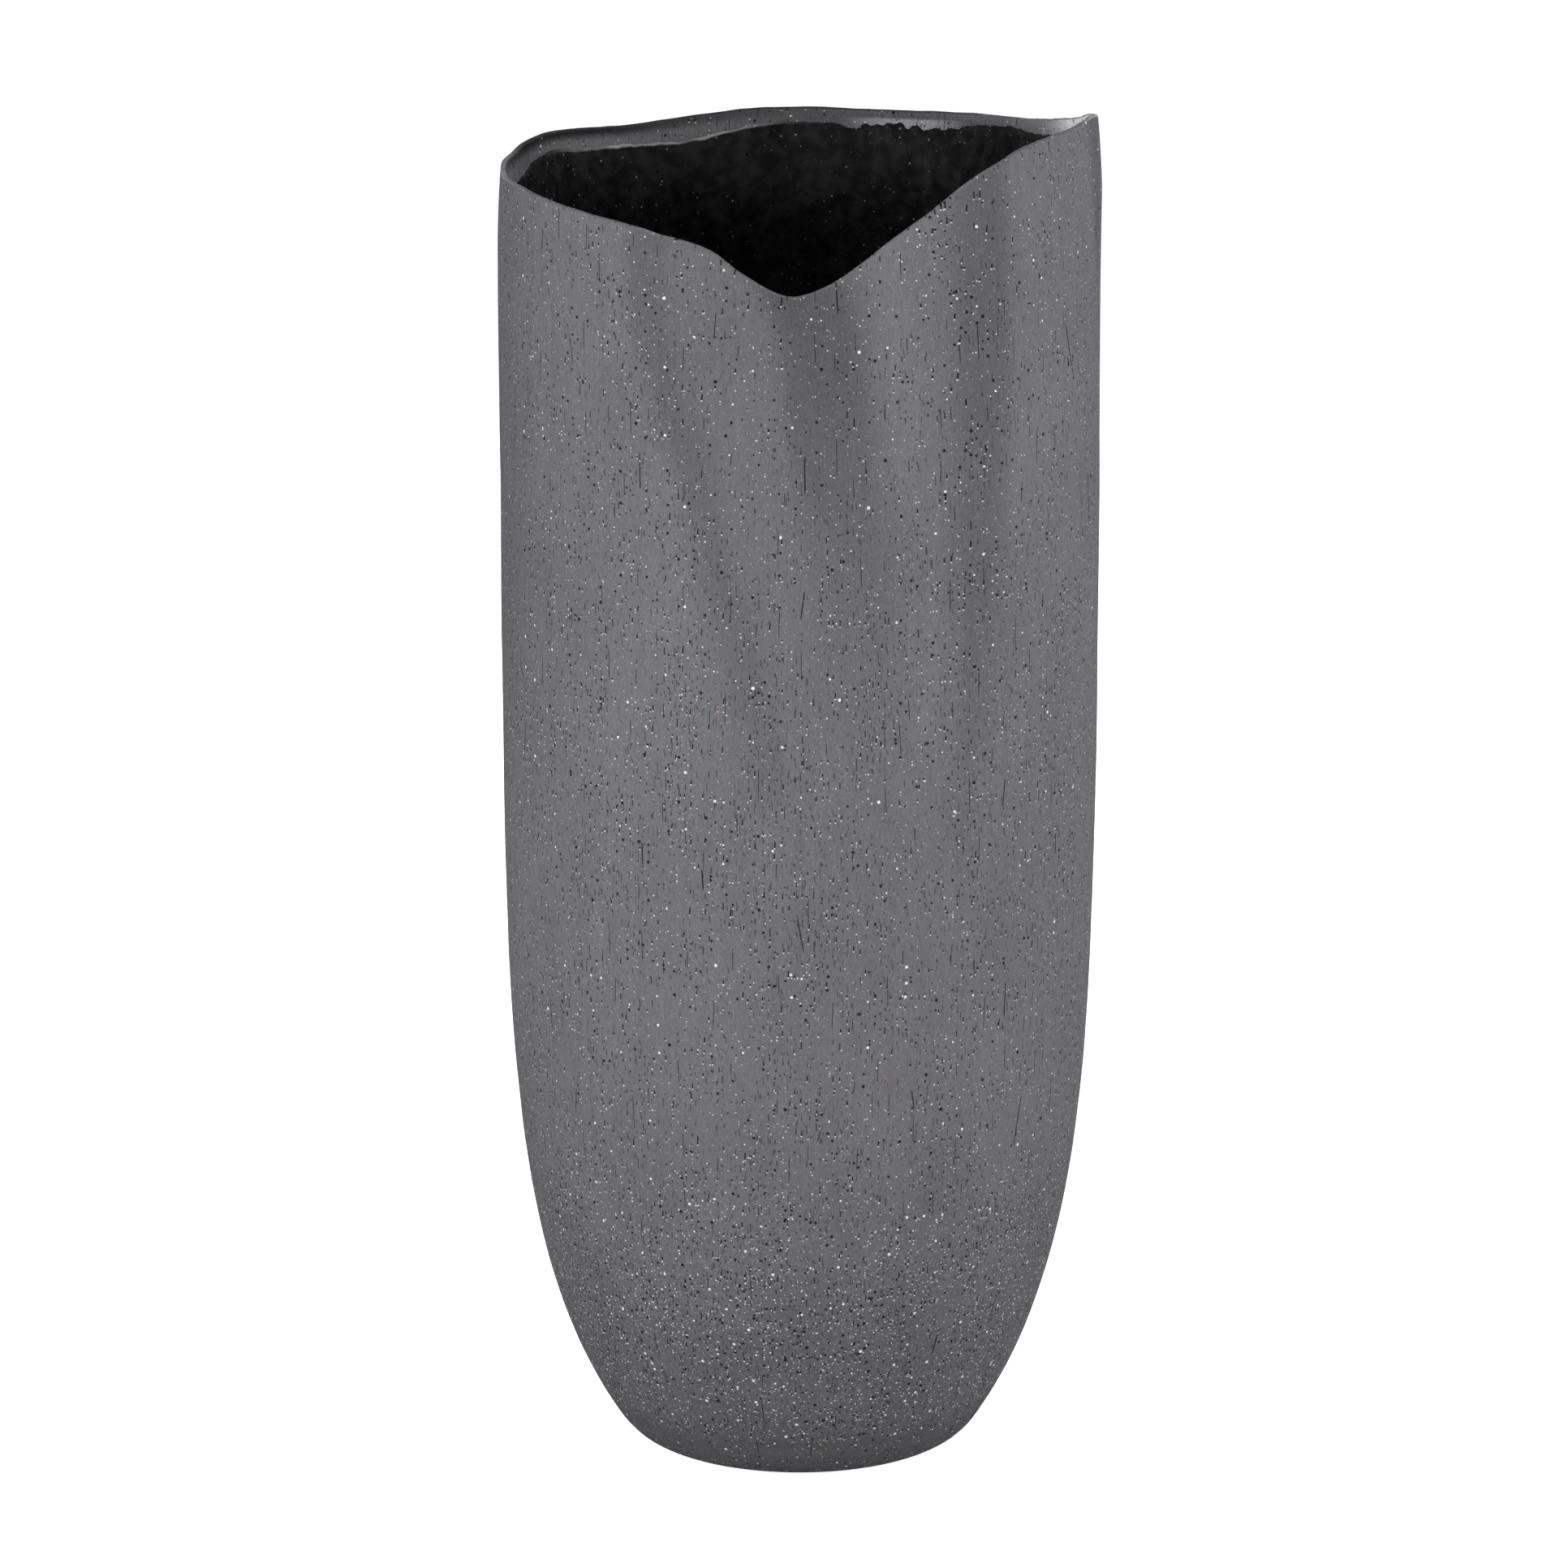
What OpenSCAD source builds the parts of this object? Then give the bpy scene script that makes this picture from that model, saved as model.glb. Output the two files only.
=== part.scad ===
// Tall hand-built stoneware vase: a round body pressed in at the front, a torn-edge mouth
// with a V notch and one pinched corner, and a black glaze lining. It stands on a flat foot.
// Origin: centre of the underside. +Z is up, the pressed front faces -Y, the pinched corner +X.

/* [Body] */
// Widest diameter of the body
body_d = 199.2; // [165:0.2:240]
// Height of the rim at the back
rim_h = 443; // [350:1:560]
// Height at which the wall stops widening
belly_h = 415; // [300:1:600]
// How quickly the wall leaves the foot (higher is quicker)
belly_power = 6.4; // [4:0.1:9]
// Wall thickness half way up
wall_t = 5.5; // [4:0.1:8]

/* [Foot] */
// Diameter of the foot before its edge is rounded
foot_d = 108; // [90:1:130]
// Radius of the rounded foot edge
foot_round = 7; // [3:0.5:9]
// Wall thickness where it meets the floor
foot_t = 9; // [6:0.5:12]
// Height over which the wall thins from the foot upward
foot_thin_h = 90; // [40:5:150]

/* [Base slab] */
// Thickness of the floor slab
slab_t = 9; // [6:0.5:12]
// Flat ring of wall left around the underside of the slab
foot_ring = 7; // [3:0.5:10]

/* [Seam coil] */
// Height of the clay coil pressed into the inside corner
coil_h = 9; // [5:0.5:14]
// Width of the coil on the floor
coil_w = 9; // [5:0.5:14]

/* [Mouth] */
// Thickness of the lip
lip_t = 1.6; // [1:0.1:3]
// Distance over which the wall thins towards the lip
lip_thin_h = 34; // [15:1:60]
// Depth of the front notch below the back of the rim
notch_depth = 40.5; // [20:0.5:60]
// Rise of the pinched corner above the back of the rim
tip_rise = 8.5; // [0:0.5:20]
// Drop of the rounded corner opposite
corner_drop = 8.5; // [0:0.5:20]
// Dip of the rim at the back left
back_dip = 3.5; // [0:0.5:10]
// How far the mouth is squeezed in beside the pinched corner
pinch_depth = 6; // [0:0.5:9]
// Height over which the squeeze fades out
pinch_h = 120; // [60:5:200]

/* [Pressed panel] */
// How far the front is pressed in at the notch
panel_depth = 30; // [0:0.5:36]
// Height of the pressed panel below the notch
panel_h = 214; // [100:2:260]
// Angle from the front to the panel's left edge at the notch
panel_left = 27; // [15:1:35]
// Angle from the front to the panel's right edge at the notch
panel_right = 43; // [25:1:48]
// Angle from the front to the panel's deepest line at the notch
panel_lean = 6; // [0:1:12]

/* [Glaze] */
// Thickness of the glaze lining
glaze_t = 0.8; // [0.5:0.1:1.5]
// Mean width of the bare clay band between rim and glaze
bare_band = 5; // [3:0.5:12]

/* [Hidden] */
sides = 90;                          // facets round the body
step = 360 / sides;
body_r = body_d / 2;
foot_r = foot_d / 2;
panel_top = rim_h - notch_depth;
belly_soften = 0.885;                // softens the start of the belly curve
floor_z = slab_t;
slab_bottom_r = foot_r - foot_round - foot_ring;

// Rim heights round the mouth: [angle from the pinched corner, height above the back rim]
rim_marks = [
    [0, tip_rise], [12, 0.7 * tip_rise], [35, 0.2 * tip_rise],
    [70, 0], [95, 0], [125, -back_dip], [150, -0.8 * back_dip],
    [166, -0.92 * corner_drop], [180, -corner_drop], [205, -1.13 * corner_drop],
    [232, -0.36 * notch_depth], [244, -0.455 * notch_depth], [251, -0.57 * notch_depth],
    [258, -0.82 * notch_depth], [268, -notch_depth], [282, -0.84 * notch_depth],
    [297, -0.42 * notch_depth], [311, 0.25 * tip_rise], [330, tip_rise]
];

function clamp(x, low, high) = min(max(x, low), high);
function wrap(a) = a - 360 * round(a / 360);
function ease(x) = let(t = clamp(x, 0, 1)) t * t * (3 - 2 * t);
function hump(u) = abs(u) < 1 ? pow(1 - pow(abs(u), 2.2), 1.6) : 0;

// Mark number i of the rim, carried on past the ends of the list so that the rim closes
function mark(i) =
    let(n = len(rim_marks), turns = floor(i / n), m = rim_marks[i - turns * n])
    [m[0] + 360 * turns, m[1]];
function marks_before(a) = len([for (m = rim_marks) if (m[0] <= a) m]) - 1;

// Smooth curve through the rim marks, level above the back rim at angle a (0 to 360)
function rim_wave(a) =
    let(
        i = marks_before(a),
        p = mark(i - 1), q = mark(i), r = mark(i + 1), s = mark(i + 2),
        span = r[0] - q[0],
        t = (a - q[0]) / span,
        slope_q = span * (r[1] - p[1]) / (r[0] - p[0]),
        slope_r = span * (s[1] - q[1]) / (s[0] - q[0])
    )
    (2 * t * t * t - 3 * t * t + 1) * q[1] + (t * t * t - 2 * t * t + t) * slope_q
    + (3 * t * t - 2 * t * t * t) * r[1] + (t * t * t - t * t) * slope_r;

function rim_z(a) = rim_h + rim_wave(a);

// Round profile of the outside: rounded foot edge, then the belly curve
function belly_r(z) =
    foot_r + (body_r - foot_r)
    * pow(1 - pow(1 - clamp(z / belly_h, 0, 1), belly_power), belly_soften);
function foot_cut(z) =
    z < foot_round ? foot_round - sqrt(foot_round * foot_round - pow(foot_round - z, 2)) : 0;

// Depth of the pressed front panel at angle a and height z. It is an upside-down triangle
// that leans to the right as it goes down: t runs from 0 at the notch to 1 at its lower tip.
function panel_left_edge(t) = -panel_left + 33 * t;
function panel_right_edge(t) = panel_right - 12 * t * t;
function panel_valley(t) = panel_lean + 25 * t - 11 * t * t;
function panel(a, z) =
    let(
        t = clamp((panel_top - z) / panel_h, 0, 1),
        off = wrap(a - 270) - panel_valley(t),
        reach = off < 0
            ? panel_valley(t) - panel_left_edge(t)
            : panel_right_edge(t) - panel_valley(t)
    )
    panel_depth * pow(1 - t, 1.05) * hump(off / reach);

// Squeeze either side of the pinched corner, strongest at the rim
function pinch(a, z) =
    let(q = abs(wrap(a)) / 22)
    pinch_depth * q * exp(1 - q)
    * pow(clamp(1 - (rim_h + tip_rise - z) / pinch_h, 0, 1), 1.5);

function outer_r(a, z) = belly_r(z) - foot_cut(z) - panel(a, z) - pinch(a, z);

// Wall thickness, measured level: thick at the foot, thin at the lip
function thickness(a, z) =
    let(
        low = foot_t + (wall_t - foot_t) * ease((z - floor_z) / foot_thin_h),
        lip = ease((rim_z(a) - z) / lip_thin_h)
    )
    lip_t + (low - lip_t) * lip;
function inner_r(a, z) = outer_r(a, z) - thickness(a, z);

// A level ring stretched to follow the rim: level z at the back, the rim wave at the top
function wavy(a, z) = z + rim_wave(a) * pow(z / rim_h, 2);

function spot(a, r, z) = [r * cos(a), r * sin(a), z];
function ring(z, r) = [for (k = [0 : sides - 1]) spot(k * step, r, z)];
function outer_ring(z) =
    [for (k = [0 : sides - 1]) let(a = k * step, h = wavy(a, z)) spot(a, outer_r(a, h), h)];
function inner_ring(z, inset = 0) =
    [for (k = [0 : sides - 1]) let(a = k * step, h = wavy(a, z)) spot(a, inner_r(a, h) - inset, h)];

// Height of the glaze edge: an uneven band below the rim
function glaze_edge(a) =
    rim_z(a) - bare_band - 0.9 * sin(3 * a + 40) - 0.7 * sin(7 * a) - 0.5 * sin(13 * a + 70);
function glaze_edge_ring(inset, drop = 0) =
    [for (k = [0 : sides - 1]) let(a = k * step, h = glaze_edge(a) - drop)
        spot(a, inner_r(a, h) - inset, h)];

// Levels up the wall, closer together near the foot
foot_levels = [for (i = [0 : 3]) foot_round * (1 - cos(i * 30))];
low_levels = [14, 21, 30, 42, 57, 76, 100, 130, 165];
top_low = low_levels[len(low_levels) - 1];
function high_levels(count) =
    [for (i = [1 : count - 1]) top_low + (rim_h - top_low) * i / count];
coil_top_z = floor_z + coil_h;
corner_r = inner_r(0, floor_z);

// Face of the coil, thumbed into a shallow hollow that runs from the floor up to the wall
coil_steps = 4;
coil_toe = [corner_r - coil_w, floor_z];
coil_heel = [inner_r(0, coil_top_z), coil_top_z];
coil_hollow = 0.45;                  // 0 is a straight face, 1 follows the corner
coil_bend = (coil_toe + coil_heel) / 2 * (1 - coil_hollow) + [corner_r, floor_z] * coil_hollow;
coil_face = [
    for (i = [0 : coil_steps])
        let(t = i / coil_steps)
        pow(1 - t, 2) * coil_toe + 2 * t * (1 - t) * coil_bend + t * t * coil_heel
];

// Closed solid through a list of rings; the last ring joins the first
module ring_loop(rings) {
    n = len(rings);
    points = [for (r = rings) each r];
    faces = [
        for (i = [0 : n - 1], k = [0 : sides - 1])
            let(
                p = i * sides, q = ((i + 1) % n) * sides, m = (k + 1) % sides
            )
            each [[p + k, q + k, q + m], [p + k, q + m, p + m]]
    ];
    polyhedron(points, faces, convexity = 6);
}

// Closed solid through a list of rings, with a flat cap on the first and the last
module ring_stack(rings) {
    n = len(rings);
    points = [for (r = rings) each r];
    sides_faces = [
        for (i = [0 : n - 2], k = [0 : sides - 1])
            let(p = i * sides, q = p + sides, m = (k + 1) % sides)
            each [[p + k, q + k, q + m], [p + k, q + m, p + m]]
    ];
    first = [for (k = [0 : sides - 1]) k];
    last = [for (k = [sides - 1 : -1 : 0]) (n - 1) * sides + k];
    polyhedron(points, concat(sides_faces, [first, last]), convexity = 6);
}

outer_levels = concat(foot_levels, [for (z = low_levels) if (z > foot_round + 2) z], high_levels(16));
inner_levels = concat(
    [floor_z, coil_top_z],
    [for (z = low_levels) if (z > coil_top_z + 2) z],
    high_levels(10)
);
lining_levels = [for (z = inner_levels) if (z > coil_top_z && z < rim_h - 2 * bare_band) z];

// Wall of the vase, standing round the bevelled edge of the slab
module wall() {
    color("#6b6b70")
    ring_loop(concat(
        [ring(0, slab_bottom_r)],
        [for (z = outer_levels) outer_ring(z)],
        [outer_ring(rim_h)],
        [inner_ring(rim_h)],
        [for (i = [len(inner_levels) - 1 : -1 : 0]) inner_ring(inner_levels[i])]
    ));
}

// Floor slab with a bevelled edge that the wall closes round
module base_slab() {
    color("#5c5b60")
    ring_stack([ring(0, slab_bottom_r), inner_ring(floor_z)]);
}

// Clay coil pressed into the corner between floor and wall
module seam_coil() {
    color("#646369")
    ring_loop(concat(
        [inner_ring(floor_z)],
        [inner_ring(coil_top_z)],
        [for (i = [coil_steps - 1 : -1 : 0]) ring(coil_face[i][1], coil_face[i][0])]
    ));
}

// Black glaze that lines the floor, the coil and the wall up to the bare band
module interior_glaze() {
    color("#141416")
    ring_stack(concat(
        [for (i = [0 : coil_steps]) ring(coil_face[i][1], coil_face[i][0])],
        [for (z = lining_levels) inner_ring(z)],
        [glaze_edge_ring(0)],
        [glaze_edge_ring(glaze_t, glaze_t)],
        [for (i = [len(lining_levels) - 1 : -1 : 0]) inner_ring(lining_levels[i], glaze_t)],
        [for (i = [coil_steps : -1 : 0])
            ring(coil_face[i][1] + glaze_t, coil_face[i][0] - glaze_t)]
    ));
}

wall();
base_slab();
seam_coil();
interior_glaze();
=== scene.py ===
import math

import bpy
import numpy as np
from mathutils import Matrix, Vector, noise


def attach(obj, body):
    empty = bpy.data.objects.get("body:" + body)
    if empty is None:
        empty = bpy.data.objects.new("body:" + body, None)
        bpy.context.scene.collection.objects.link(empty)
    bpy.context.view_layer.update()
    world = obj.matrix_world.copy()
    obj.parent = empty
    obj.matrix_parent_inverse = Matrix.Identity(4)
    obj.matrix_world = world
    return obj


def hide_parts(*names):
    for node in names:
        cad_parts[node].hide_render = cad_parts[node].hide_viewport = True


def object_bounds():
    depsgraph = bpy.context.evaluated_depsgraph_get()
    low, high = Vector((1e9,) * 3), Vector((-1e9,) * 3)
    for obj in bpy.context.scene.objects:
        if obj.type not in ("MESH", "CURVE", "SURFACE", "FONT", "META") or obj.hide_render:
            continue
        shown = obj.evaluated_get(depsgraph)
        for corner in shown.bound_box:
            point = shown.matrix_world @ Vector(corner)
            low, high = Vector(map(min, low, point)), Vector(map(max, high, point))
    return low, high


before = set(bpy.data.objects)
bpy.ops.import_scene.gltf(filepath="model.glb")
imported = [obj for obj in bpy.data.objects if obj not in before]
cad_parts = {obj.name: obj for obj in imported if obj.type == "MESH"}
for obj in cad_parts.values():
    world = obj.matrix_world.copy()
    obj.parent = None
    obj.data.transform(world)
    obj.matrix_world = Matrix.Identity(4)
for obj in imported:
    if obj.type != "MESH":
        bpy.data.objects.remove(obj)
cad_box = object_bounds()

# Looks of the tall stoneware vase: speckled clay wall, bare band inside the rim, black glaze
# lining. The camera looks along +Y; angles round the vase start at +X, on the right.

MM = 0.001
COLUMNS = 512                        # corners round each fine mesh

# Rows along the section of the wall, and of the glaze lining
UNDER_STEPS = (0.0, 0.1, 0.9)        # under the foot, as parts of its width
FOOT_ROWS = 26                       # outside, close together round the foot
BODY_ROWS = 126                      # outside, up to the lip
LIP_ROWS = 7
BAND_ROWS = 18                       # inside, down the bare band
DEEP_ROWS = 12                       # inside, behind the glaze
BACK_ROWS = 22                       # glaze against the clay
NEAR_ROWS = 100                      # seen side of the glaze, near the rim
FAR_ROWS = 65                        # seen side of the glaze, down to the floor
NEAR_DEPTH = 118 * MM                # where the near rows give way to the far ones

# How much painted shade darkens the clay outside, and painted light brightens its flanks
CREASE_SHIFT = 5                     # columns by which the painted shade lies left of the creases
HOLLOW_SHIFT = 7                     # and left of the deepest line of the hollow
CREASE_SHADE = 0.24
HOLLOW_SHADE = 0.28
FLANK_SHADE = 0.06
SIDE_SHADE = 0.13
FOOT_SHADE = 0.24
HIDDEN_SHADE = 0.9                   # slab and coil

CAMERA_PLACE = (-0.0052, -2.1198, 0.7093)
CAMERA_PITCH = 12.826                # degrees below the horizon
LENS = 148.4

# Soft lamps: degrees from the camera's side towards the right, degrees up, watts
CLAY_LAMPS = (
    ("left_side", -56, 5, 27.8),
    ("right_side", 88, 5, 20.0),
    ("right_far", 70, 5, 5.3),
    ("right_quarter", 50, 5, 5.6),
    ("front_left", -22, 5, 9.8),
    ("front_right", 25, 5, 7.9),
    ("back_fill", 180, 22, 20.0),
)
GLOSS_LAMP = ("overhead", 150, 68, 1.6)
WORLD_LIGHT = 0.2
FLOOR_GLOW = 0.82


# ---------------------------------------------------------------- reading the CAD rings

def section_columns(node):
    """A CAD node made of stacked rings, as a grid [column, level] of (radius, height).

    Every ring has the same number of corners. The corners that share an angle form one
    chain through the rings; it starts at the lowest corner nearest the axis."""
    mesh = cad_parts[node].data
    raw = np.empty(len(mesh.vertices) * 3)
    mesh.vertices.foreach_get("co", raw)
    keys = np.round(raw.reshape(-1, 3) * 1e6).astype(np.int64)
    unique, place = np.unique(keys, axis=0, return_inverse=True)
    points = unique / 1e6
    ends = np.empty(len(mesh.edges) * 2, dtype=np.int64)
    mesh.edges.foreach_get("vertices", ends)
    pairs = np.unique(np.sort(place.reshape(-1)[ends].reshape(-1, 2), axis=1), axis=0)

    radius = np.hypot(points[:, 0], points[:, 1])
    angle = np.degrees(np.arctan2(points[:, 1], points[:, 0])) % 360
    count = len(np.unique(np.round(angle, 1) % 360))
    column = np.round(angle * count / 360).astype(int) % count
    joined = [[] for _ in points]
    for a, b in pairs:
        if a != b and column[a] == column[b]:
            joined[a].append(b)
            joined[b].append(a)
    grid = []
    for k in range(count):
        mine = np.where(column == k)[0]
        open_ends = [i for i in mine if len(joined[i]) == 1]
        start = min(open_ends or mine, key=lambda i: (round(points[i, 2], 6), radius[i]))
        grid.append([(radius[i], points[i, 2]) for i in walk(start, joined, points)])
    return np.array(grid)


def walk(start, joined, points):
    """Corners of one column in order; a closed chain sets off to its lowest neighbour."""
    path = [start]
    seen = {start}
    while True:
        onward = [i for i in joined[path[-1]] if i not in seen]
        if not onward:
            return path
        path.append(min(onward, key=lambda i: points[i, 2]))
        seen.add(path[-1])


def finer_columns(grid):
    """The grid with COLUMNS columns, on smooth closed curves through its own columns."""
    count = len(grid)
    where = np.arange(COLUMNS) * count / COLUMNS
    first = np.floor(where).astype(int)
    t = (where - first)[:, None, None]
    p, q, r, s = (grid[(first + k) % count] for k in (-1, 0, 1, 2))
    return 0.5 * (2 * q + (r - p) * t + (2 * p - 5 * q + 4 * r - s) * t ** 2
                  + (3 * q - p - 3 * r + s) * t ** 3)


def lengths_of(grid):
    """Length walked along each column, from its first level to each level."""
    step = np.hypot(*np.moveaxis(np.diff(grid, axis=1), -1, 0))
    return np.pad(np.cumsum(step, axis=1), ((0, 0), (1, 0)))


def points_at(grid, lengths):
    """Points at the given lengths along each column, on smooth curves through its levels."""
    walked = lengths_of(grid)
    step = np.diff(walked, axis=1)[..., None]
    slope = np.diff(grid, axis=1) / step
    inner = slope[:, :-1] * step[:, 1:] + slope[:, 1:] * step[:, :-1]
    inner /= step[:, :-1] + step[:, 1:]
    tangent = np.concatenate([slope[:, :1], inner, slope[:, -1:]], axis=1)
    lengths = np.broadcast_to(lengths, (len(grid), np.shape(lengths)[-1]))
    low = np.array([np.searchsorted(w, s, side="right") - 1 for w, s in zip(walked, lengths)])
    low = np.clip(low, 0, grid.shape[1] - 2)
    k = np.arange(len(grid))[:, None]
    h = step[k, low]
    t = (lengths - walked[k, low])[..., None] / h
    first = (2 * t ** 3 - 3 * t ** 2 + 1) * grid[k, low] + (t ** 3 - 2 * t ** 2 + t) * h * tangent[k, low]
    last = (3 * t ** 2 - 2 * t ** 3) * grid[k, low + 1] + (t ** 3 - t ** 2) * h * tangent[k, low + 1]
    return first + last


# ---------------------------------------------------------------- small helpers

angles = np.arange(COLUMNS) * 2 * math.pi / COLUMNS


def ease(x):
    """Smooth step from 0 to 1."""
    x = np.clip(x, 0, 1)
    return x * x * (3 - 2 * x)


def angles_near(middle, reach):
    """1 round the middle angle, easing to 0 at reach either side; both are in degrees."""
    off = (np.degrees(angles) - middle + 180) % 360 - 180
    return ease(1.3 * (1 - np.abs(off) / reach))


def by_angle(*marks):
    """Value at every column, straight between marks of (angle in degrees, value)."""
    where, values = zip(*marks)
    return np.interp(np.degrees(angles), where, values)


def unevenness(points, grain, seed):
    """Smooth noise, about -1 to 1, at each point of a grid; grain is its size in metres."""
    flat = points.reshape(-1, 3) / np.asarray(grain) + np.array([3.7, 1.3, 7.1]) * seed
    values = [noise.noise(Vector(p)) for p in flat]
    return np.array(values).reshape(points.shape[:-1])


def to_points(section):
    """Grid [column, row] of (radius, height) to points in space."""
    x = section[..., 0] * np.cos(angles)[:, None]
    y = section[..., 0] * np.sin(angles)[:, None]
    return np.stack([x, y, section[..., 1]], axis=-1)


def blurred(values, reach):
    """Values softened round the vase; reach is in columns."""
    steps = range(-3 * reach, 3 * reach + 1)
    weights = np.exp([-0.5 * (k / reach) ** 2 for k in steps])
    return sum(w * np.roll(values, k, axis=0) for k, w in zip(steps, weights)) / weights.sum()


# ---------------------------------------------------------------- from grids to objects

def map_levels(section, row_weight, bands):
    """Height of each row in the unwrapped map, 0 to 1, from its weighted length."""
    around = section.mean(axis=0)
    climb = np.hypot(*np.diff(around, axis=0, append=around[:1]).T)
    level = np.cumsum(np.r_[0, climb[:bands] * row_weight[:bands]])
    return level / level[-1]


def fan(ring, centre, turn, level):
    """Triangles from a ring of corners to a centre, and their places in the map."""
    faces = np.stack([np.roll(ring, -1), ring, np.full(COLUMNS, centre)], axis=-1)
    edge = np.arange(COLUMNS) / COLUMNS
    u = np.stack([edge + 1 / COLUMNS, edge, edge], axis=-1)
    uv = np.stack([u, np.full_like(u, level)], axis=-1)
    return faces[:, ::turn].tolist(), uv[:, ::turn].reshape(-1, 2)


def shell(name, section, row_weight, shade, closed):
    """Smooth mesh over a grid [column, row]; row_weight shares out the map among the rows.

    A closed grid joins its last row to its first; an open one gets a fan at both ends."""
    points = to_points(section)
    rows = points.shape[1]
    bands = rows if closed else rows - 1
    k, i = np.meshgrid(np.arange(COLUMNS), np.arange(bands), indexing="ij")
    n = (k + 1) % COLUMNS
    j = (i + 1) % rows
    quads = np.stack([k * rows + i, n * rows + i, n * rows + j, k * rows + j], axis=-1)
    faces = quads.reshape(-1, 4).tolist()
    level = map_levels(section, row_weight, bands)
    u = np.stack([k, k + 1, k + 1, k], axis=-1) / COLUMNS
    v = np.stack([level[i], level[i], level[i + 1], level[i + 1]], axis=-1)
    uv = np.stack([u, v], axis=-1).reshape(-1, 2)
    verts = points.reshape(-1, 3)
    tones = shade.reshape(-1)
    if not closed:
        for row, turn, height in ((0, 1, level[0]), (rows - 1, -1, level[-1])):
            more_faces, more_uv = fan(np.arange(COLUMNS) * rows + row, len(verts), turn, height)
            verts = np.vstack([verts, points[:, row].mean(axis=0)])
            tones = np.append(tones, shade[:, row].mean())
            faces += more_faces
            uv = np.vstack([uv, more_uv])
    mesh = bpy.data.meshes.new(name)
    mesh.from_pydata(verts.tolist(), [], faces)
    mesh.polygons.foreach_set("use_smooth", [True] * len(mesh.polygons))
    mesh.uv_layers.new(name="OFBake").data.foreach_set("uv", uv.ravel())
    mesh.attributes.new("shade", "FLOAT", "POINT").data.foreach_set("value", tones)
    mesh.update()
    obj = bpy.data.objects.new(name, mesh)
    bpy.context.scene.collection.objects.link(obj)
    return obj


def put_in_place(obj, node, material):
    """Let the object stand for a CAD node, on the vase's one body."""
    obj.data.materials.append(material)
    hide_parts(node)
    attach(obj, "root")


# ---------------------------------------------------------------- geometry: clay wall

wall_cad = section_columns("wall")
rim_level = int(np.argmax(wall_cad[0, :, 1]))
wall_fine = finer_columns(wall_cad)
foot_inside = wall_fine[:, 0]
outer = wall_fine[:, rim_level:0:-1]              # from the rim down to the foot ring
inner = wall_fine[:, rim_level + 1:]              # from the rim down to the floor
half_lip = np.hypot(*(outer[:, 0] - inner[:, 0]).T) / 2
rim_z = outer[:, 0, 1]


def wall_section():
    """Section of the wall as rows: foot, outside up, rounded lip, inside down."""
    total = lengths_of(outer)[:, -1]
    foot_zone = 24 * MM
    bare_depth = 15 * MM
    body = (total - foot_zone - half_lip)[:, None] * np.linspace(0, 1, BODY_ROWS)
    foot = (total - foot_zone)[:, None] + foot_zone * np.linspace(0, 1, FOOT_ROWS + 1)[1:]
    outside = points_at(outer, np.hstack([half_lip[:, None] + body, foot]))[:, ::-1]
    turn = np.linspace(0, math.pi, LIP_ROWS + 2)[1:-1]
    middle = (outer[:, 0] + inner[:, 0]) / 2
    lip = np.stack([middle[:, :1] + half_lip[:, None] * np.cos(turn),
                    middle[:, 1:] - half_lip[:, None] * (1 - np.sin(turn))], axis=-1)
    band = half_lip[:, None] + np.linspace(0, bare_depth, BAND_ROWS)
    deep = lengths_of(inner)[:, -1:] - band[:, -1:]
    deep = band[:, -1:] + deep * np.linspace(0, 1, DEEP_ROWS + 1)[1:]
    inside = points_at(inner, np.hstack([band, deep]))
    under = [foot_inside + (outside[:, 0] - foot_inside) * t for t in UNDER_STEPS]
    return np.concatenate([np.stack(under, axis=1), outside, lip, inside], axis=1)


def lean_in(section):
    """Tuck both corners of the rim inwards over the last stretch below the lip."""
    inwards = 1.6 * MM * angles_near(0, 34) + 1.1 * MM * angles_near(184, 36)
    near_rim = np.clip(1 - (rim_z[:, None] - section[..., 1]) / (24 * MM), 0, 1.1) ** 1.5
    section[..., 0] -= inwards[:, None] * near_rim


def bend(radius):
    """How sharply the wall turns round the vase: 1 on a circle, negative in a hollow."""
    step = 2 * math.pi / COLUMNS
    soft = blurred(radius, 4)
    slope = (np.roll(soft, -1, axis=0) - np.roll(soft, 1, axis=0)) / (2 * step)
    curve = (np.roll(soft, -1, axis=0) - 2 * soft + np.roll(soft, 1, axis=0)) / step ** 2
    return soft * (soft ** 2 + 2 * slope ** 2 - soft * curve) / (soft ** 2 + slope ** 2) ** 1.5


def outside_light_and_shade(section):
    """Painted shade on the outside: darker along the creases, the hollow, the left side and towards the
    foot, with painted light on the flanks.
    """
    sharpness = bend(section[..., 0])
    turn = np.roll(sharpness, -CREASE_SHIFT, axis=0)
    hollow_turn = np.roll(sharpness, -HOLLOW_SHIFT, axis=0)
    upper = ease((section[..., 1] - 0.16) / 0.22)
    kept = np.where(angles < 1.5 * math.pi, 0.0, 0.45)[:, None]
    crease = ease((turn - 1.4) / 2.6) * (kept + (1 - kept) * upper)
    hollow = ease(-hollow_turn / 1.7) * upper ** 5
    flank = ease(1 - np.abs(turn)) * upper
    side = angles_near(190, 24)[:, None] * upper
    foot = ease((0.17 - section[..., 1]) / 0.16)
    # painted shade along the creases, the hollow and the left side, painted light on the flanks, painted
    # shade towards the foot
    pressed = 1 - CREASE_SHADE * crease - HOLLOW_SHADE * hollow - SIDE_SHADE * side
    return blurred(pressed + FLANK_SHADE * flank, 2) * (1 - FOOT_SHADE * foot)


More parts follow.
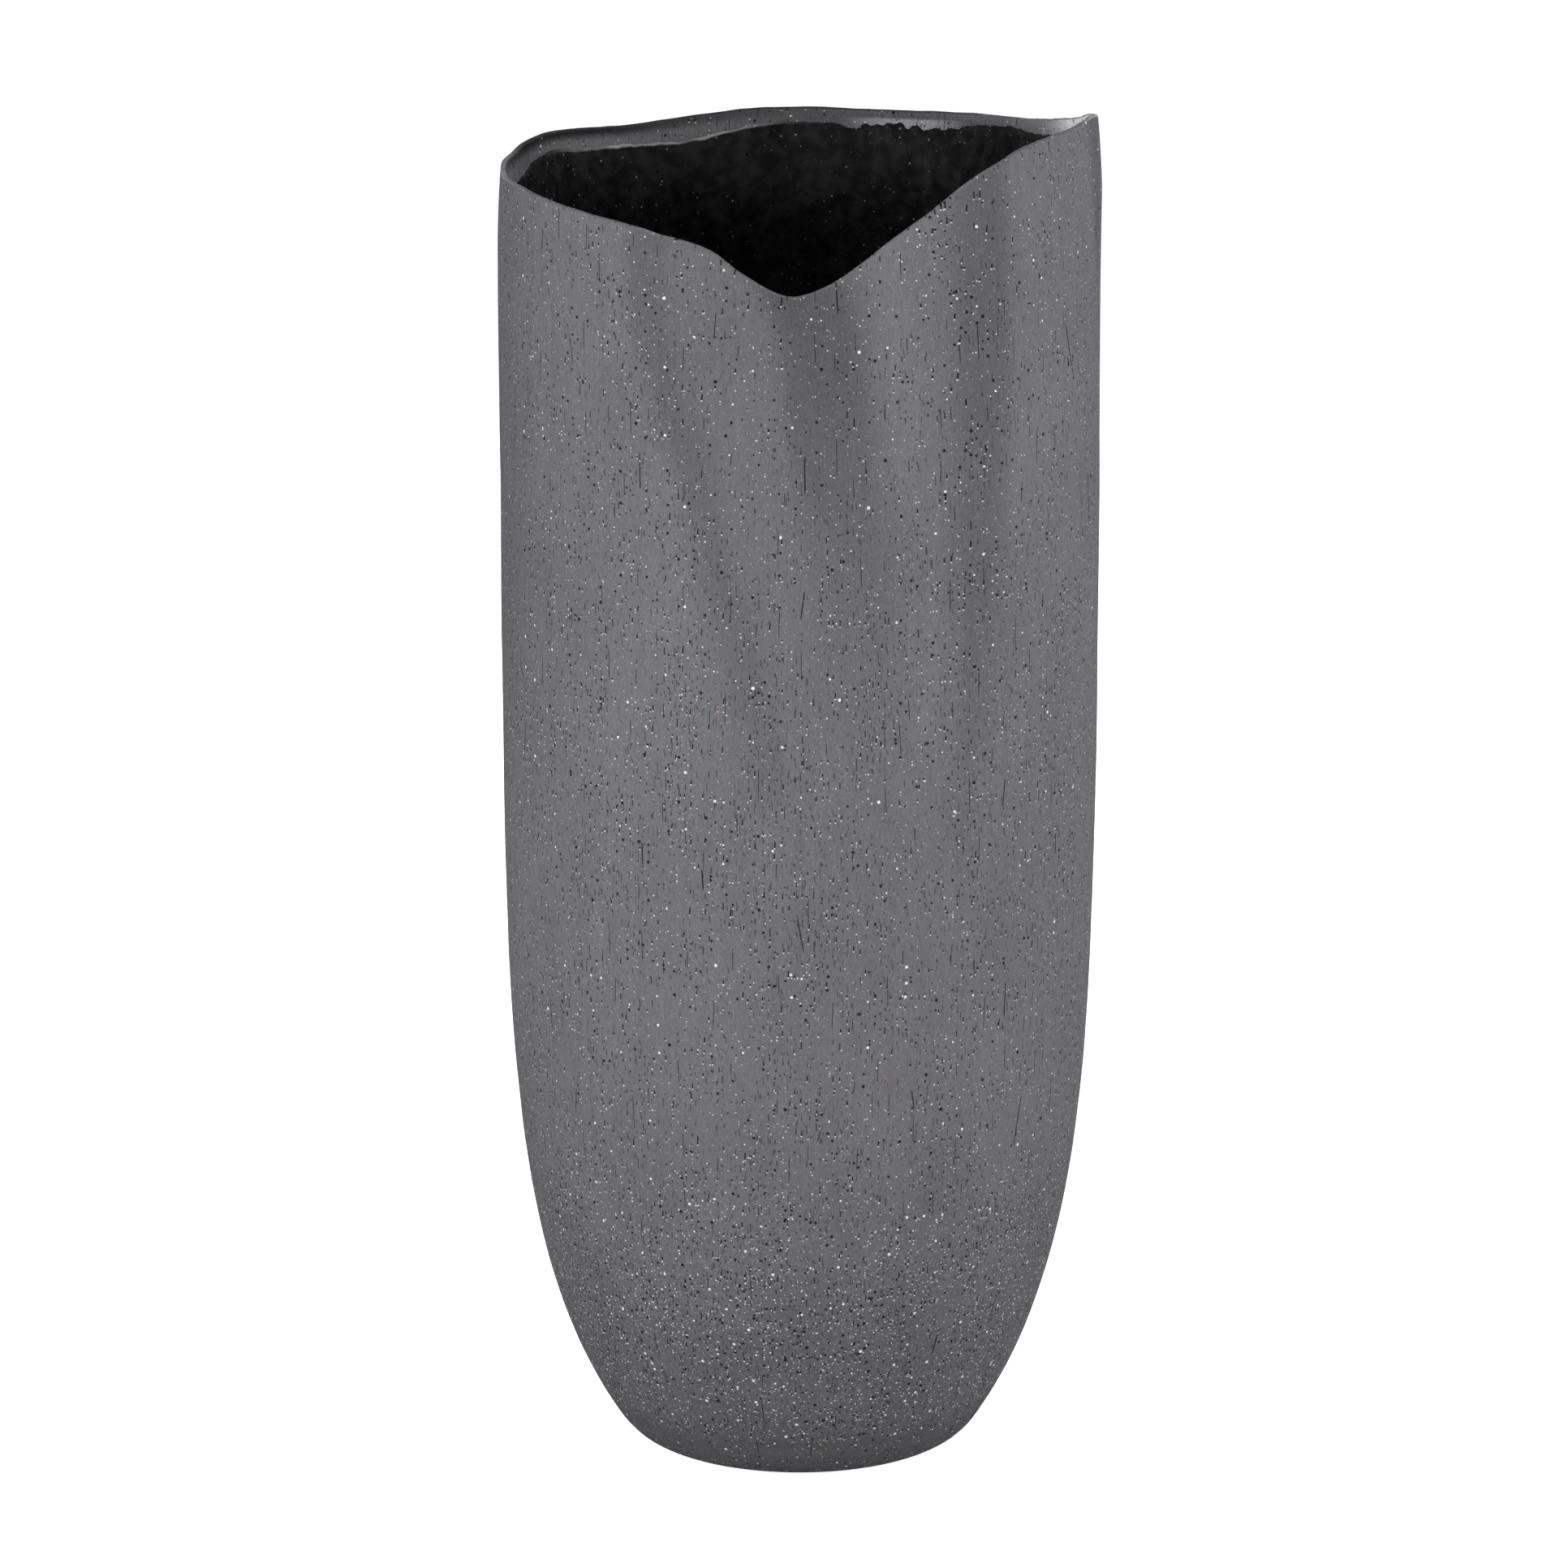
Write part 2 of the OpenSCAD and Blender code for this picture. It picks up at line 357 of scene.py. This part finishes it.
def band_shade(depth):
    """Painted light and shade on the bare clay inside the lip, by angle: near the lip, and down by the
    glaze.

    It is painted dark with shade at the top left, has a painted highlight in the right corner, and is
    pale in a strip low down at the right back."""
    # painted shade at the top left and a painted highlight in the right corner, as tones by angle
    top = by_angle((0, 5.6), (12, 5.4), (20, 3.0), (30, 1.35), (42, 0.85), (80, 0.70), (105, 0.45),
                   (135, 0.13), (160, 0.13), (172, 0.40), (180, 0.9), (250, 0.8), (350, 1.5), (360, 5.6))
    low = by_angle((0, 5.0), (12, 4.8), (20, 2.4), (30, 0.9), (45, 0.55), (80, 0.65), (88, 0.7),
                   (105, 0.9), (135, 1.25), (160, 0.9), (172, 1.3), (180, 1.5), (250, 0.8),
                   (350, 1.5), (360, 5.0))
    pale_strip = angles_near(67, 16)[:, None] * ease((depth - 2.6 * MM) / (0.9 * MM))
    return top[:, None] + (low - top)[:, None] * ease((depth - 1.5 * MM) / (3.5 * MM)) + 1.6 * pale_strip


def lip_waver(rim_places):
    """How far the lip lies above the CAD rim: small waves, and the lift of both corners."""
    waves = 0.35 * MM * unevenness(rim_places, 22 * MM, 4) + 0.16 * MM * unevenness(rim_places, 6 * MM, 5)
    right_corner = 0.9 * MM * angles_near(0, 8) - 1.1 * MM * angles_near(343, 14)
    left_corner = 2.2 * MM * angles_near(170, 20)
    return waves + right_corner + left_corner


def make_wall():
    """The clay wall; its rows behind the glaze get little of the map."""
    section = wall_section()
    first_lip = len(UNDER_STEPS) + FOOT_ROWS + BODY_ROWS
    below_rim = rim_z[:, None] - section[..., 1]
    # painted light and shade on the outside of the wall
    outside_painted_light = outside_light_and_shade(section)

    # Hand-made surface: broad unevenness, long upright ripples, small dabs, a wavering lip
    places = to_points(section)
    hold = ease((section[..., 1] - 1 * MM) / (12 * MM))
    broad = 0.35 * MM * unevenness(places, 60 * MM, 1)
    ripples = 0.16 * MM * unevenness(places, (11 * MM, 11 * MM, 150 * MM), 2)
    dabs = 0.07 * MM * unevenness(places, (7 * MM, 7 * MM, 12 * MM), 3)
    section[..., 0] += hold * (broad + ripples + dabs)
    section[..., 1] += lip_waver(places[:, first_lip])[:, None] * np.exp(-below_rim / (9 * MM))
    lean_in(section)

    # Painted light and shade on the clay: outside, along the lip, and on the bare band inside
    row_number = np.arange(section.shape[1])
    shade = np.where(row_number < first_lip, outside_painted_light, band_shade(below_rim))
    # painted highlights on the lip at both corners, painted shade along its back
    lip_light_and_shade = by_angle((0, 3.0), (25, 1.4), (60, 0.45), (110, 0.30), (160, 0.35), (175, 1.6),
                        (190, 1.8), (205, 1.0), (335, 0.95), (350, 1.3), (360, 3.0))
    shade[:, first_lip:first_lip + LIP_ROWS] = lip_light_and_shade[:, None]
    row_weight = np.where(row_number < first_lip + LIP_ROWS + BAND_ROWS, 1.0, 0.06)
    return shell("clay_wall", section, row_weight, shade, closed=True)


# ---------------------------------------------------------------- geometry: glaze lining

glaze_cad = section_columns("interior_glaze")
glaze_fine = finer_columns(glaze_cad)
edge_level = int(np.argmax(glaze_cad[0, :, 1]))
ends = glaze_fine[:, [0, -1], 1].mean(axis=0)
if ends[0] > ends[1]:
    glaze_fine = glaze_fine[:, ::-1]
    edge_level = glaze_fine.shape[1] - 1 - edge_level
back = glaze_fine[:, edge_level::-1]              # against the clay, from the edge down
face = glaze_fine[:, edge_level + 1:]             # seen side, from the edge down
edge_places = to_points(back[:, :1])


def glaze_section():
    """Rows of the lining from its edge down: against the clay, and on the seen side."""
    jag = 0.5 * MM * unevenness(edge_places, 5 * MM, 11)[:, 0]
    jag += 0.3 * MM * unevenness(edge_places, 2 * MM, 12)[:, 0]
    notch = np.clip(unevenness(edge_places, 3.4 * MM, 13)[:, 0] + 0.12, 0, 1)
    drop = (0.7 * MM - jag + 3.6 * MM * angles_near(69, 22) * notch)[:, None]
    behind_total = lengths_of(back)[:, -1:]
    behind = points_at(back, drop + (behind_total - drop) * np.linspace(0, 1, BACK_ROWS) ** 1.5)
    near = drop + 0.9 * MM + NEAR_DEPTH * np.linspace(0, 1, NEAR_ROWS)
    far = lengths_of(face)[:, -1:] - near[:, -1:]
    far = near[:, -1:] + far * np.linspace(0, 1, FAR_ROWS + 1)[1:]
    return behind, points_at(face, np.hstack([near, far]))


def lumps_of(seen):
    """How far the seen side swells towards the axis, in soft lumps away from the edge."""
    places = to_points(seen)
    lumps = 0.10 * MM * unevenness(places, 12 * MM, 14)
    lumps += 0.12 * MM * np.clip(unevenness(places, 3.6 * MM, 15) - 0.2, 0, 1)
    return lumps * ease(np.arange(seen.shape[1]) / 4)[None, :]


def creep_up(rows):
    """Raise the lining's edge up the wall on the right, where the bare band is narrow."""
    rise = 2.5 * MM * angles_near(38, 42)
    old = rows[..., 1].copy()
    rows[..., 1] += rise[:, None] * np.exp((old - back[:, :1, 1]) / (8 * MM))
    for k, wall_side in enumerate(inner[:, ::-1]):
        wall_radius, wall_z = wall_side.T
        rows[k, :, 0] += np.interp(rows[k, :, 1], wall_z, wall_radius)
        rows[k, :, 0] -= np.interp(old[k], wall_z, wall_radius)


def make_glaze():
    """The lining; its rows against the clay get little of the map."""
    behind, seen = glaze_section()
    brow = [behind[:, 0] * (1 - t) + seen[:, 0] * t + np.array([0, up * MM])
            for t, up in ((0.4, 0.25), (0.8, 0.2))]
    along = np.gradient(seen, axis=1)
    along /= np.linalg.norm(along, axis=-1, keepdims=True)
    outward = np.stack([along[..., 1], -along[..., 0]], axis=-1)
    seen = seen + outward * lumps_of(seen)[..., None]
    section = np.concatenate([behind[:, ::-1], np.stack(brow, axis=1), seen], axis=1)
    creep_up(section)
    lean_in(section)
    row_weight = np.ones(section.shape[1])
    row_weight[:BACK_ROWS] = 0.05

    # A painted highlight: a thin pale line along the glaze's edge, at the back left
    edge_highlight = 0.85 + 0.6 * unevenness(edge_places, 5 * MM, 16)[:, 0]
    edge_highlight = angles_near(120, 34) * np.clip(edge_highlight, 0, 1)
    unhighlighted = np.ones(section.shape[:2])
    unhighlighted[:, BACK_ROWS - 2:BACK_ROWS + 2] -= edge_highlight[:, None]
    return shell("black_glaze", section, row_weight, unhighlighted, closed=False)


# ---------------------------------------------------------------- geometry: slab and coil

def straight_rows(start, end, count):
    """Rows on straight lines from one ring of points to another, without the last."""
    steps = np.linspace(0, 1, count, endpoint=False)[None, :, None]
    return start[:, None] * (1 - steps) + end[:, None] * steps


def make_slab():
    """The slab: underside from the middle out, bevelled edge, top back in."""
    grid = finer_columns(section_columns("base_slab"))
    below = grid[:, 0]
    above = grid[:, 1]
    inmost = np.array([0.03, 1.0])
    underside = straight_rows(below * inmost, below, count=34)
    pressed = 0.45 * MM + 0.25 * MM * unevenness(to_points(underside), 14 * MM, 21)
    underside[..., 1] += pressed * ease((below[:, None, 0] - underside[..., 0]) / (9 * MM))
    bevel = straight_rows(below, above, count=8)
    top = straight_rows(above, above * inmost, count=24)
    section = np.concatenate([underside, bevel, top], axis=1)
    shade = np.full(section.shape[:2], HIDDEN_SHADE)
    return shell("clay_slab", section, np.ones(section.shape[1]), shade, closed=False)


def make_coil():
    """The coil pressed into the inside corner, a little uneven."""
    grid = finer_columns(section_columns("seam_coil"))
    following = np.roll(grid, -1, axis=1)
    sides = [straight_rows(grid[:, i], following[:, i], count=5) for i in range(grid.shape[1])]
    section = np.concatenate(sides, axis=1)
    section[..., 1] += 0.15 * MM * unevenness(to_points(section), 9 * MM, 22)
    shade = np.full(section.shape[:2], HIDDEN_SHADE)
    return shell("clay_coil", section, np.ones(section.shape[1]), shade, closed=True)


# ---------------------------------------------------------------- materials

class Graph:
    """Shader graph of one material; numbers given to a node are set on its own sockets."""

    def __init__(self, name):
        self.material = bpy.data.materials.new(name)
        self.material.use_nodes = True
        self.tree = self.material.node_tree
        self.surface = self.tree.nodes["Principled BSDF"]
        self.place = self.tree.nodes.new("ShaderNodeTexCoord").outputs["Object"]

    def feed(self, socket, value):
        """Link a socket to another one, or set its number."""
        if isinstance(value, bpy.types.NodeSocket):
            self.tree.links.new(value, socket)
        else:
            socket.default_value = value

    def math(self, operation, *values):
        node = self.tree.nodes.new("ShaderNodeMath")
        node.operation = operation
        for socket, value in zip(node.inputs, values):
            self.feed(socket, value)
        return node.outputs[0]

    def product(self, first, *others):
        """All the values multiplied together."""
        for other in others:
            first = self.math("MULTIPLY", first, other)
        return first

    def largest(self, first, *others):
        for other in others:
            first = self.math("MAXIMUM", first, other)
        return first

    def vector(self, operation, *values):
        node = self.tree.nodes.new("ShaderNodeVectorMath")
        node.operation = operation
        for socket, value in zip(node.inputs, values):
            self.feed(socket, value)
        return node.outputs["Value" if operation in ("LENGTH", "DOT_PRODUCT") else "Vector"]

    def height_in(self, vector):
        """The Z part of a vector."""
        node = self.tree.nodes.new("ShaderNodeSeparateXYZ")
        self.feed(node.inputs[0], vector)
        return node.outputs["Z"]

    def attribute(self, name):
        """A number kept at the mesh's corners."""
        node = self.tree.nodes.new("ShaderNodeAttribute")
        node.attribute_name = name
        return node.outputs["Fac"]

    def stretched(self, grain, shift):
        """Object coordinates counted in grains of the given size (x, y, z in mm)."""
        counted = self.vector("MULTIPLY", self.place, tuple(1000 / g for g in grain))
        return self.vector("ADD", counted, (shift, shift * 0.7, shift * 0.4))

    def noise(self, grain, shift, detail=2.0):
        node = self.tree.nodes.new("ShaderNodeTexNoise")
        self.feed(node.inputs["Vector"], self.stretched(grain, shift))
        node.inputs["Scale"].default_value = 1.0
        node.inputs["Detail"].default_value = detail
        return node.outputs["Fac"]

    def spread(self, value, low, high, out_low, out_high):
        """Smooth step of a value from low..high to out_low..out_high."""
        node = self.tree.nodes.new("ShaderNodeMapRange")
        node.interpolation_type = "SMOOTHSTEP"
        for name, number in (("Value", value), ("From Min", low), ("From Max", high),
                             ("To Min", out_low), ("To Max", out_high)):
            self.feed(node.inputs[name], number)
        return node.outputs["Result"]

    def cells(self, grain, shift):
        """Scattered grains: offset from the nearest one in mm, and three random numbers."""
        coords = self.stretched(grain, shift)
        node = self.tree.nodes.new("ShaderNodeTexVoronoi")
        self.feed(node.inputs["Vector"], coords)
        node.inputs["Scale"].default_value = 1.0
        parted = self.tree.nodes.new("ShaderNodeSeparateColor")
        self.feed(parted.inputs[0], node.outputs["Color"])
        offset = self.vector("MULTIPLY", self.vector("SUBTRACT", coords, node.outputs["Position"]), grain)
        return offset, parted.outputs[0], parted.outputs[1], parted.outputs[2]

    def sized(self, number, small, large):
        """A size from a random number, with more small ones than large."""
        return self.math("MULTIPLY_ADD", self.math("MULTIPLY", number, number), large - small, small)

    def dots(self, grain, share, small, large, shift):
        """Round grains of radius small..large mm, in the given share of cells, and a random number."""
        offset, there, size, bright = self.cells((grain, grain, grain), shift)
        reach = self.math("DIVIDE", self.vector("LENGTH", offset), self.sized(size, small, large))
        mask = self.spread(reach, 0.85, 1.05, 1.0, 0.0)
        return self.math("MULTIPLY", mask, self.math("LESS_THAN", there, share)), bright

    def strokes(self, grain, rise, share, width, short, long, lean, shift):
        """Upright grooves scratched down the wall, one in the given share of cells.

        Each rises from its cell's own place; width and lengths are in mm, lean is a slope.
        Returns the groove, the distance from its foot, the share test and a random number."""
        offset, there, size, other = self.cells((grain, grain, rise), shift)
        radial = self.vector("NORMALIZE", self.vector("MULTIPLY", self.place, (1.0, 1.0, 0.0)))
        sideways = self.vector("CROSS_PRODUCT", radial, (0.0, 0.0, 1.0))
        across = self.vector("DOT_PRODUCT", offset, sideways)
        up = self.height_in(offset)
        tilt = self.math("MULTIPLY_ADD", other, 2 * lean, -lean)
        leaning = self.math("MULTIPLY_ADD", up, tilt, across)
        along = self.math("DIVIDE", up, self.sized(size, short, long))
        body = self.spread(self.math("ABSOLUTE", self.math("SUBTRACT", along, 0.5)), 0.38, 0.54, 1.0, 0.0)
        side = self.spread(self.math("ABSOLUTE", leaning), width * 0.55, width * 1.1, 1.0, 0.0)
        present = self.math("LESS_THAN", there, share)
        foot = self.math("ADD", self.math("MULTIPLY", across, across), self.math("MULTIPLY", up, up))
        return self.product(body, side, present), self.math("SQRT", foot), present, other

    def mix(self, amount, first, second):
        """Colour from first to second as the amount goes from 0 to 1."""
        node = self.tree.nodes.new("ShaderNodeMix")
        node.data_type = "RGBA"
        self.feed(node.inputs["Factor"], amount)
        self.feed(node.inputs[6], first)
        self.feed(node.inputs[7], second)
        return node.outputs[2]

    def scaled(self, colour, amount):
        node = self.tree.nodes.new("ShaderNodeVectorMath")
        node.operation = "SCALE"
        self.feed(node.inputs[0], colour)
        self.feed(node.inputs["Scale"], amount)
        return node.outputs["Vector"]

    def finish(self, colour, roughness, height, gloss):
        """Feed the surface; height is the relief in mm."""
        bump = self.tree.nodes.new("ShaderNodeBump")
        bump.inputs["Strength"].default_value = 1.0
        bump.inputs["Distance"].default_value = MM
        self.feed(bump.inputs["Height"], height)
        self.feed(self.surface.inputs["Normal"], bump.outputs["Normal"])
        self.feed(self.surface.inputs["Base Color"], colour)
        self.feed(self.surface.inputs["Roughness"], roughness)
        self.surface.inputs["Specular IOR Level"].default_value = gloss
        return self.material


def clay_tone(g, low_body, foot_band, painted_light_and_shade):
    """Brightness of the clay: mottling, upright streaks, fibres, grit, a brushed low body, painted shade
    at the foot and the painted light and shade kept on the mesh.
    """
    mottle = g.spread(g.noise((38, 38, 60), 3.0), 0.3, 0.7, 0.95, 1.05)
    streak = g.spread(g.noise((3.2, 3.2, 55), 5.0, 3.0), 0.3, 0.7, 0.965, 1.035)
    fibre = g.spread(g.noise((0.5, 0.5, 2.6), 9.0), 0.3, 0.7, 0.90, 1.10)
    grit = g.spread(g.noise((0.7, 0.7, 0.45), 13.0), 0.3, 0.7, 0.90, 1.10)
    brushed = g.spread(g.noise((26, 26, 0.9), 17.0, 3.0), 0.3, 0.7, -0.07, 0.05)
    brushed = g.math("MULTIPLY_ADD", brushed, low_body, 1.0)
    # painted shade: darker over the lowest band of the foot
    foot_painted_shade = g.spread(foot_band, 0.0, 1.0, 1.0, 0.8)
    return g.product(mottle, streak, fibre, grit, brushed, foot_painted_shade, painted_light_and_shade)


def clay_marks(g, low_body, upper_body, foot_band, painted_light_and_shade):
    """Masks of the white grog and of the dark marks: drag grooves, nicks, pits, scratches."""
    fewer = g.math("MULTIPLY", g.spread(foot_band, 0.2, 0.9, 1.0, 0.25),
                   g.spread(painted_light_and_shade, 0.55, 0.70, 0.30, 1.0))
    crowded = g.math("MULTIPLY", fewer, g.spread(g.noise((16, 16, 26), 27.0), 0.32, 0.68, 0.35, 1.45))
    sparse = g.math("MULTIPLY", crowded, g.spread(upper_body, 0.0, 1.0, 1.0, 0.55))

    # A grain dragged down the wall leaves a groove above it
    pair_share = g.math("MULTIPLY", g.spread(low_body, 0.0, 1.0, 0.46, 0.62), sparse)
    groove, foot, present, bright = g.strokes(2.1, 3.9, pair_share, 0.22, 0.8, 3.4, 0.12, 31.0)
    pair_grain = g.product(g.spread(foot, 0.18, 0.34, 1.0, 0.0), present,
                           g.spread(bright, 0.4, 0.95, 0.0, 1.0))
    groove = g.math("MULTIPLY", groove, g.spread(bright, 0.0, 0.9, 0.45, 1.0))

    nick_share = g.math("MULTIPLY", sparse, 0.32)
    tiny_share = g.math("MULTIPLY", g.spread(low_body, 0.0, 1.0, 0.26, 0.95), fewer)
    chip_share = g.math("MULTIPLY", g.spread(low_body, 0.0, 1.0, 0.18, 0.80), fewer)
    pit_share = g.math("MULTIPLY", g.spread(low_body, 0.1, 1.0, 0.26, 0.80), crowded)
    nick, *_ = g.strokes(1.5, 4.6, nick_share, 0.12, 0.8, 4.4, 0.10, 37.0)
    tiny, tiny_bright = g.dots(0.95, tiny_share, 0.14, 0.36, 41.0)
    tiny = g.math("MULTIPLY", tiny, g.spread(tiny_bright, 0.3, 1.0, 0.15, 1.0))
    chips, _ = g.dots(3.1, chip_share, 0.24, 0.62, 51.0)
    pits, _ = g.dots(1.7, pit_share, 0.18, 0.60, 61.0)
    hairline, *_ = g.strokes(8.0, 26.0, 0.6, 0.13, 4.0, 12.0, 0.03, 81.0)
    scratch, *_ = g.strokes(34.0, 60.0, 0.4, 0.24, 7.0, 20.0, 0.22, 87.0)

    dark = groove
    for mark, strength in ((pits, 0.95), (nick, 0.55), (hairline, 0.8), (scratch, 0.9)):
        dark = g.largest(dark, g.math("MULTIPLY", mark, strength))
    return g.largest(pair_grain, tiny, chips), dark


def clay_material():
    """Grey stoneware with white grog, dragged pits, hairlines and a smooth foot darkened with painted
    shade.
    """
    g = Graph("speckled_clay")
    height = g.height_in(g.place)
    low_body = g.spread(height, 0.03, 0.16, 1.0, 0.0)
    upper_body = g.spread(height, 0.26, 0.40, 0.0, 1.0)
    foot_band = g.spread(height, 0.006, 0.030, 1.0, 0.0)
    # painted light and shade, kept on the mesh in its shade attribute
    painted_light_and_shade = g.attribute("shade")

    hue = g.spread(g.noise((30, 30, 45), 21.0), 0.35, 0.65, 0.0, 1.0)
    clay = g.mix(hue, (0.157, 0.157, 0.165, 1), (0.160, 0.156, 0.168, 1))
    clay = g.scaled(clay, clay_tone(g, low_body, foot_band, painted_light_and_shade))
    white, dark = clay_marks(g, low_body, upper_body, foot_band, painted_light_and_shade)
    rust, _ = g.dots(6.5, 0.08, 0.3, 0.6, 71.0)
    colour = g.mix(dark, clay, (0.008, 0.008, 0.009, 1))
    colour = g.mix(rust, colour, (0.30, 0.17, 0.12, 1))
    colour = g.mix(white, colour, (0.85, 0.85, 0.83, 1))

    relief = g.math("MULTIPLY", dark, -0.35)
    relief = g.math("MULTIPLY_ADD", white, 0.08, relief)
    relief = g.math("MULTIPLY_ADD", g.noise((0.5, 0.5, 2.4), 91.0), 0.06, relief)
    relief = g.math("MULTIPLY_ADD", g.noise((2.5, 2.5, 9.0), 95.0), 0.06, relief)
    roughness = g.spread(g.noise((6, 6, 20), 99.0), 0.3, 0.7, 0.60, 0.75)
    return g.finish(colour, roughness, relief, 0.35)


def glaze_material():
    """Near-black gloss with soft lumps, pinholes, pale dots painted as glints on small bumps, and a thin
    painted highlight along its edge.
    """
    g = Graph("black_gloss")
    cloud = g.spread(g.noise((14, 14, 20), 2.0, 3.0), 0.3, 0.7, 0.0, 1.0)
    colour = g.mix(cloud, (0.0095, 0.0095, 0.0105, 1), (0.0185, 0.0175, 0.0180, 1))
    lump = g.spread(g.noise((4.2, 4.2, 4.8), 5.0), 0.35, 0.70, 0.62, 1.5)
    colour = g.scaled(colour, lump)
    # pale dots painted as glints of light, each on a small raised bump
    grains, bright = g.dots(1.7, 0.62, 0.14, 0.40, 7.0)
    grains = g.math("MULTIPLY", grains, g.spread(bright, 0.30, 1.0, 0.03, 0.8))
    pins, _ = g.dots(3.8, 0.4, 0.2, 0.5, 15.0)
    colour = g.mix(grains, colour, (0.50, 0.50, 0.50, 1))
    colour = g.mix(pins, colour, (0.0006, 0.0006, 0.0006, 1))
    # painted highlight along the edge, where the mesh's shade is below 1
    colour = g.mix(g.attribute("shade"), (0.45, 0.45, 0.44, 1), colour)

    relief = g.math("MULTIPLY", g.noise((3.2, 3.2, 3.6), 23.0, 1.0), 0.22)
    relief = g.math("MULTIPLY_ADD", grains, 0.15, relief)
    relief = g.math("MULTIPLY_ADD", pins, -0.2, relief)
    roughness = g.spread(g.noise((4, 4, 5), 33.0), 0.3, 0.7, 0.16, 0.26)
    return g.finish(colour, roughness, relief, 0.16)


# ---------------------------------------------------------------- camera, light, floor

low, high = (Vector(p) for p in cad_box)
AIM = Vector((0, 0, low.z + 0.55 * (high.z - low.z)))


def add_camera():
    """Camera a little above the vase, far enough back for a long lens."""
    data = bpy.data.cameras.new("camera")
    data.sensor_width = 36
    data.lens = LENS
    data.clip_end = 60
    cam = bpy.data.objects.new("camera", data)
    cam.location = CAMERA_PLACE
    cam.rotation_euler = (math.radians(90 - CAMERA_PITCH), 0, 0)
    bpy.context.scene.collection.objects.link(cam)
    bpy.context.scene.camera = cam


def softbox(name, azimuth, elevation, power, mirrored):
    """Soft lamp aimed at the vase.

    A lamp that is not mirrored lights the clay but leaves no glare in the gloss."""
    distance = 2.0
    data = bpy.data.lights.new(name, "AREA")
    data.shape = "RECTANGLE"
    data.size = 0.7
    data.size_y = 1.2
    data.energy = power
    lamp = bpy.data.objects.new(name, data)
    az = math.radians(azimuth)
    el = math.radians(elevation)
    away = Vector((math.sin(az) * math.cos(el), -math.cos(az) * math.cos(el), math.sin(el)))
    lamp.location = AIM + away * distance
    lamp.rotation_euler = away.to_track_quat("Z", "Y").to_euler()
    lamp.visible_glossy = mirrored
    bpy.context.scene.collection.objects.link(lamp)


def add_floor():
    """Pale, softly glowing studio floor and a backdrop all round; neither lights the vase."""
    reach = 40                       # metres
    ring = [(-reach, -reach), (reach, -reach), (reach, reach), (-reach, reach)]
    corners = [(x, y, z) for z in (low.z, low.z + reach) for x, y in ring]
    sides = [(k, k + 4, (k + 1) % 4 + 4, (k + 1) % 4) for k in range(4)]
    mat = bpy.data.materials.new("floor")
    mat.use_nodes = True
    surface = mat.node_tree.nodes["Principled BSDF"]
    surface.inputs["Base Color"].default_value = (0.85, 0.85, 0.85, 1)
    surface.inputs["Roughness"].default_value = 1.0
    surface.inputs["Specular IOR Level"].default_value = 0.0
    surface.inputs["Emission Color"].default_value = (1, 1, 1, 1)
    surface.inputs["Emission Strength"].default_value = FLOOR_GLOW
    for name, faces in (("floor", [(0, 1, 2, 3)]), ("backdrop", sides)):
        mesh = bpy.data.meshes.new(name)
        mesh.from_pydata(corners, [], faces)
        mesh.materials.append(mat)
        obj = bpy.data.objects.new(name, mesh)
        bpy.context.scene.collection.objects.link(obj)
        obj.visible_diffuse = False
        obj.visible_glossy = False
        obj.visible_shadow = name == "floor"


def add_world():
    """Faint even light from all round."""
    world = bpy.data.worlds.new("studio")
    bpy.context.scene.world = world
    world.use_nodes = True
    background = world.node_tree.nodes["Background"]
    background.inputs["Color"].default_value = (1, 1, 1, 1)
    background.inputs["Strength"].default_value = WORLD_LIGHT


# ---------------------------------------------------------------- the scene

for leftover in ("Cube", "Light", "Camera"):
    if leftover in bpy.data.objects:
        bpy.data.objects.remove(bpy.data.objects[leftover])

clay = clay_material()
put_in_place(make_wall(), "wall", clay)
put_in_place(make_glaze(), "interior_glaze", glaze_material())
put_in_place(make_slab(), "base_slab", clay)
put_in_place(make_coil(), "seam_coil", clay)

add_camera()
for lamp_values in CLAY_LAMPS:
    softbox(*lamp_values, mirrored=False)
softbox(*GLOSS_LAMP, mirrored=True)
add_floor()
add_world()
bpy.context.scene.view_settings.view_transform = "Standard"
